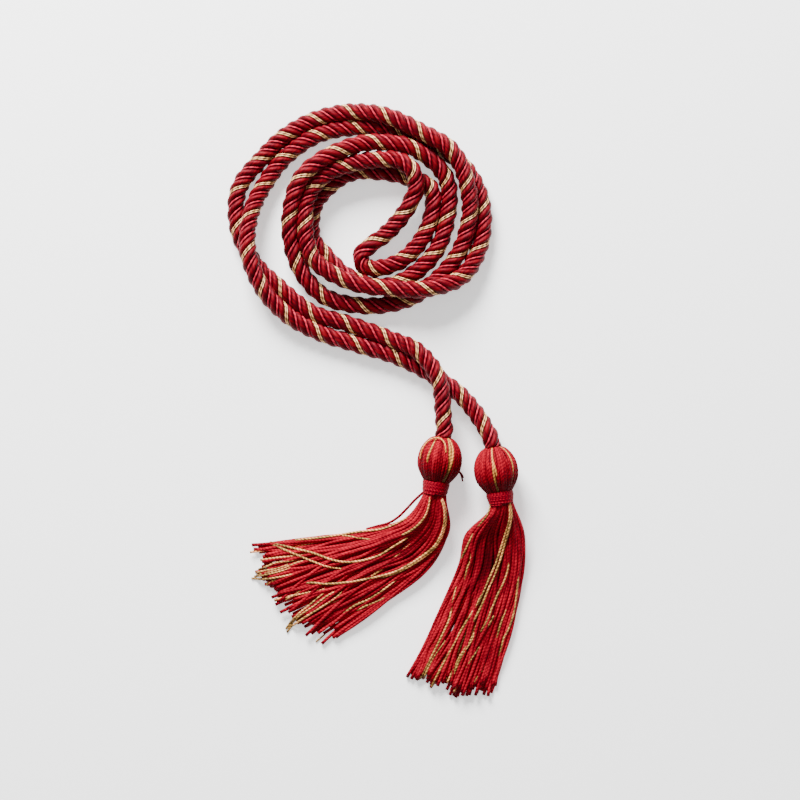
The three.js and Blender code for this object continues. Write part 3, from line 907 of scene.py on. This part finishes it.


# %% [markdown]
# Most gold yarns lie on top of a skirt, and some of them cross the others, so they can't follow
# its edges. Each is drawn as a few points seen from above, and laid over the yarns that are
# already there. One dark thread has come loose at the left neck and bridges a gap.

# %% Gold yarns on top
# x and y in the drawing's mm, from the neck's side to the cut end
GOLD_LAID = {
    "left": [
        [(14.4, -52.6), (8.1, -55.9), (2.6, -57.8), (-7.5, -59), (-20.7, -61.2), (-36, -62.9)],
        [(24.7, -42.7), (23.9, -47.5), (22.3, -51.9), (18.6, -56.3), (14.6, -59.1), (10.6, -60.8)],
        [(-1.4, -62.5), (-6.8, -61.9), (-11.2, -61.1), (-15.8, -60.6)],
        [(14.6, -61.6), (8.2, -65.6), (1.8, -69.6), (-6.3, -72), (-14, -72.5), (-19.6, -71.4)]
        + [(-28.5, -68.3), (-36.1, -66.6), (-44.7, -64.5), (-47.1, -63.8)],
        [(-14.8, -75.7), (-20.6, -74.8), (-28.5, -72.1), (-36.1, -69), (-43.6, -65.9)]
        + [(-47.1, -64.5)],
        [(28.7, -42.7), (30.3, -46.3), (31.1, -51.1), (30.7, -56.3), (29.1, -61.2), (26.3, -65.6)]
        + [(18.6, -71.6), (10.6, -76.2), (2.6, -78.8), (-4.3, -80.3), (-13.7, -81.8)]
        + [(-22.3, -82.4), (-27.5, -81.9), (-31.9, -82.1)],
        [(29.4, -42.7), (31, -46.3), (31.8, -51.1), (31.4, -56.3), (29.7, -61.4), (26.8, -66.1)]
        + [(19.1, -72.2), (10.9, -76.8), (2.7, -79.5)],
        [(10.2, -80.1), (4.6, -84.5), (0.6, -87.3), (-3.5, -89.7), (-9, -92.1), (-15.1, -96.6)],
        [(7, -86.1), (3.8, -88.9), (-0.2, -90.9), (-4.3, -92.5), (-8.3, -94.5)],
        [(-14.4, -85.5), (-17.1, -88.3), (-24, -92.8), (-31, -97.2), (-37.8, -102.1)]
        + [(-39.6, -104.5)],
        [(-17.1, -85.5), (-20.6, -87.3), (-27.5, -92.4), (-34.4, -97.2), (-39.2, -102.8)],
        [(-22.3, -85.9), (-29.2, -91.8), (-36.1, -97.6), (-40.1, -103)],
        [(-34.4, -71.1), (-37.8, -72.1), (-44.7, -73.1), (-48.1, -74.5), (-52.3, -76.2)],
        [(-31.6, -72.1), (-34.7, -72.8), (-41.3, -75.6), (-47.2, -77.1), (-53.1, -78.8)],
        [(-33.8, -77.3), (-41.9, -79.2), (-50.6, -80.4), (-55.6, -80.2)],
        [(-36.2, -74.6), (-42.6, -76.9), (-48.8, -78.3), (-54.4, -79.4)],
        [(-38.2, -73.6), (-44, -75.6), (-49.5, -76.6), (-53.6, -77.6)],
        [(-41.9, -80.4), (-45.5, -81), (-49.2, -83.1)],
        [(-33, -84.9), (-35.8, -87.3), (-39.2, -89), (-41.3, -90.7)],
        [(-22.5, -105.3), (-24.3, -106.9), (-26.6, -108.8)],
    ],
    "right": [
        [(51.7, -45.9), (50.4, -50.6), (47.9, -54.1), (45.9, -56.7)],
        [(59.6, -43.9), (60.9, -50), (60.6, -53.8), (58.5, -63), (55.5, -73.4), (51.1, -84.1)]
        + [(47.7, -92.2), (43.2, -100.8)],
        [(59, -43.9), (60.1, -50), (59.8, -53.8), (57.4, -62.8), (54.1, -73.1), (49.5, -83.7)]
        + [(46, -91.8)],
        [(60.3, -70.8), (59.3, -76.8), (57.7, -81.5), (53.6, -90), (50.7, -97.8), (47.2, -104.2)],
        [(46.4, -101.5), (43.2, -107.9), (41.3, -110.9), (38, -116.5), (34.6, -125.3)],
        [(45.4, -102.7), (42.2, -108.5), (40.2, -111.5), (37, -117), (33.7, -125)],
        [(55.7, -90.4), (54.4, -94.1), (52.2, -98.5), (49.9, -102.3)],
        [(43.9, -59.4), (41.6, -64.5), (40.1, -68), (38.9, -70.8), (38.2, -73.4)],
        [(43.2, -71.5), (41.6, -74.6), (40.7, -78.4), (40.1, -81.5)],
        [(37.5, -79.7), (36.2, -84.7), (34.7, -91.4), (33.5, -97.8), (29.7, -106.4)]
        + [(25.3, -115.3), (20.4, -125.1)],
        [(31.6, -107.9), (26.4, -115.3), (21.5, -125.5)],
        [(49.3, -83.7), (44.7, -93), (38.7, -103), (34.6, -110.9), (30.5, -118.4), (25.1, -129.2)],
        [(48.4, -107.9), (46.2, -111.6), (42.1, -117.9), (39.1, -125.8)],
        [(60.7, -86.6), (58.5, -94.8), (56.6, -99.7), (55.1, -104.9), (54, -108.6)],
        [(64.4, -77.4), (63.8, -84.7), (63, -91.1), (61.9, -96.7), (60, -102.3), (57.9, -106.8)]
        + [(56.7, -111.6), (55.5, -115.7)],
        [(49.1, -118.4), (47.7, -121.7), (45.8, -124.7), (43.6, -128)],
        [(38, -123.6), (36.5, -127.7), (35.2, -131.8)],
    ],
}
# x, y and height of the loose thread
LOOSE_THREAD = [(22.6, -40.6, 9.5), (21.1, -41.7, 9), (17.5, -45.1, 7.6), (14.2, -48.7, 6.2)]
LOOSE_THREAD += [(10.6, -52.3, 5), (6.2, -55.1, 4), (0.6, -56.7, 3.2), (-3.9, -58, 2.4)]
LOOSE_RADIUS = 0.6
GOLD_RADIUS = 0.43
GOLD_FADE = {"left": 0.95, "right": 0.68}  # share of its brightness that the laid gold keeps
SINK = {"left": 0.12, "right": 0.22}  # mm that it is pressed into the yarns below
SPECKLE = 0.15
for side, lines in GOLD_LAID.items():
    print(len(lines), "gold yarns laid on the", side, "skirt")


# %% [markdown]
# What is left is each yarn's swing, thickness and dye. No two yarns in a heap look alike, so
# they are drawn by chance, but from a fixed seed, so that every run gives the same skirt.

# %% Skirts
SWING, SWING_UP = 0.9, 0.4  # mm sideways at the loose end, and the share of it up and down
HALF_WAVES, HALF_WAVES_UP = 3.1, 4.3  # of that swing, over a yarn's length
YARN_TINTS = (0.7, 1.2)
# painted light brightens the lower yarns of a heap, and painted shade darkens its hollow
PAINTED_LIGHT_BELOW, PAINTED_LIGHT_FALL = 1.55, 0.6  # at the bottom of the heap, and how much less at its top
HOLLOW_PAINTED_SHADE = 1.5  # how much darker than it is deep
MOTTLE, MOTTLE_LENGTHS = 0.16, (1.6, 3)
GOLD_TINT, GOLD_MOTTLE, GOLD_MOTTLE_LENGTH = 0.8, 0.3, 2.5
TIP_TINT, TIP_LENGTH = 0.42, 22  # the laid gold is duller over its last mm
CUT_TINT, CUT_LENGTH = 0.55, 1.6  # and every yarn is darkest on its cut end
NECK_SHARE, NECK_LENGTH = 0.72, 20  # yarns are squeezed thinner at the neck


def make_skirt(side, seed):
    """Cuts the paths into tubes, and parts them into crimson and gold yarns.

    A yarn sways by a sine of its length, more towards its loose end. Its dye is mottled by
    another slow sine, darkened with painted shade in the heap's hollow, and darkest on the cut
    end. Rayon lets some light through to the yarns below, so the lower ones are drawn brighter,
    which is painted light.
    """
    rng = np.random.default_rng(seed)
    paths, across, level = skirt_paths(side, rng)
    count, rows, _ = paths.shape
    run = length_along(paths)
    share = run / run[:, -1:]
    wave = rng.uniform(0, 2 * np.pi, (3, count, 1))
    swing = SWING * share**1.2
    paths[..., 0] += swing * np.sin(HALF_WAVES * np.pi * share + wave[0])
    paths[..., 2] += SWING_UP * swing * np.sin(HALF_WAVES_UP * np.pi * share + wave[1])
    paths[..., 2] = np.maximum(paths[..., 2], YARN_RADIUS)
    paths = to_end(paths, side)
    run = length_along(paths)
    # painted shade in the hollow, and painted light that brightens the lower layers
    shade = 1 - HOLLOW_PAINTED_SHADE * hollow(side, across[:, None], share)
    deep = (PAINTED_LIGHT_BELOW - PAINTED_LIGHT_FALL * level)[:, None] * shade
    mottle = 1 + MOTTLE * np.sin(run / rng.uniform(*MOTTLE_LENGTHS, (count, 1)) + wave[2])
    mottle += rng.normal(0, SPECKLE, (count, rows))
    tint = rng.uniform(*YARN_TINTS, (count, 1)) * deep * mottle
    gold = rng.uniform(0, 1, count) < GOLD_BELOW

    below = paths.reshape(-1, 3)
    laid = np.stack([laid_over(below, r, rows, GOLD_RADIUS, SINK[side]) for r in GOLD_LAID[side]])
    laid_run = length_along(laid)
    laid_phase = rng.uniform(0, 2 * np.pi, (len(laid), 1))
    laid_tint = GOLD_TINT + GOLD_MOTTLE * np.sin(laid_run / GOLD_MOTTLE_LENGTH + laid_phase)
    laid_tint += rng.normal(0, 2 * SPECKLE, laid_tint.shape)
    tip = np.clip((laid_run[:, -1:] - laid_run) / TIP_LENGTH, 0, 1)
    laid_tint *= TIP_TINT + (1 - TIP_TINT) * tip
    laid_tint = GOLD_FADE[side] * np.clip(laid_tint, 0.2, 1.3)

    gold_paths = np.concatenate([paths[gold], laid])
    gold_tint = np.concatenate([tint[gold], laid_tint])
    made = []
    for name, lines, radius, dye, material in (
        (f"tassel_{side}_skirt_yarns", paths[~gold], YARN_RADIUS, tint[~gold], tassel_rayon),
        (f"tassel_{side}_skirt_gold", gold_paths, GOLD_RADIUS, gold_tint, tassel_gold),
    ):
        run = length_along(lines)
        end = np.clip((run[:, -1:] - run) / CUT_LENGTH, 0, 1)
        dye = dye * (CUT_TINT + (1 - CUT_TINT) * end)
        thick = radius * (NECK_SHARE + (1 - NECK_SHARE) * np.minimum(run / NECK_LENGTH, 1))
        twist = run / YARN_TURN + rng.uniform(0, 1, (len(lines), 1))
        tubes = yarn_tubes(lines, YARN_FLATNESS * thick, thick, SKIRT_SIDES)
        made.append(yarn_object(name, material, tubes, twist, run, dye[..., None]))
    if side == "left":
        line = smooth_curve(np.add(LOOSE_THREAD, (*PLACED, 0)), SKIRT_STEPS)[None]
        run = length_along(line)
        tube = yarn_tubes(line, LOOSE_RADIUS, LOOSE_RADIUS, SKIRT_SIDES)
        name = f"tassel_{side}_loose_thread"
        made.append(yarn_object(name, tassel_rayon, tube, run / YARN_TURN, run, 0.6))
    for piece in made:
        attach(piece, "root")
    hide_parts(f"tassel_{side}_skirt")


make_skirt("left", 21)
make_skirt("right", 22)

# %% [markdown]
# A plain white table, which glows a little from within as painted light, so that shadows stay
# faint, and soft studio light, as in the photograph. There the light comes from the top of the
# picture and a little from the left, so the lower flank of each run is dark. One large lamp
# there and an even pale sky give the same falling off without hard shadows. The table goes on
# far past the cord, so that its edge stays out of sight from low down too.

# %% Table and light
HALF_TABLE = 5
TABLE_WHITE = "#F4F4F4"
TABLE_GLOW = 0.7
WHITE = (1, 1, 1, 1)

table_mesh = bpy.data.meshes.new("table_top")
corners = [(x * HALF_TABLE, y * HALF_TABLE, 0) for x, y in ((-1, -1), (1, -1), (1, 1), (-1, 1))]
table_mesh.from_pydata(corners, [], [(0, 1, 2, 3)])
table_top = bpy.data.objects.new("table_top", table_mesh)
bpy.context.scene.collection.objects.link(table_top)
paint = bpy.data.materials.new("white_matt_table_painted_glow")
paint.use_nodes = True
surface = paint.node_tree.nodes["Principled BSDF"]
surface.inputs["Base Color"].default_value = linear(TABLE_WHITE)
surface.inputs["Roughness"].default_value = 0.8
# painted light: the table glows a little though it is no lamp, which keeps shadows faint
surface.inputs["Emission Color"].default_value = WHITE
surface.inputs["Emission Strength"].default_value = TABLE_GLOW
table_mesh.materials.append(paint)


def lamp(name, place, size, power):
    """A square area lamp at a place in metres that faces the middle of the table."""
    data = bpy.data.lights.new(name, "AREA")
    data.size = size
    data.energy = power
    made = bpy.data.objects.new(name, data)
    made.location = place
    made.rotation_euler = (-made.location).to_track_quat("-Z", "Y").to_euler()
    bpy.context.scene.collection.objects.link(made)
    print(name, power, "watts")


lamp("key_lamp", place=(-0.35, 1.05, 0.68), size=0.55, power=88)
sky = bpy.data.worlds.new("pale_room")
sky.use_nodes = True
backdrop = sky.node_tree.nodes["Background"]
backdrop.inputs["Color"].default_value = WHITE
backdrop.inputs["Strength"].default_value = 0.6
bpy.context.scene.world = sky
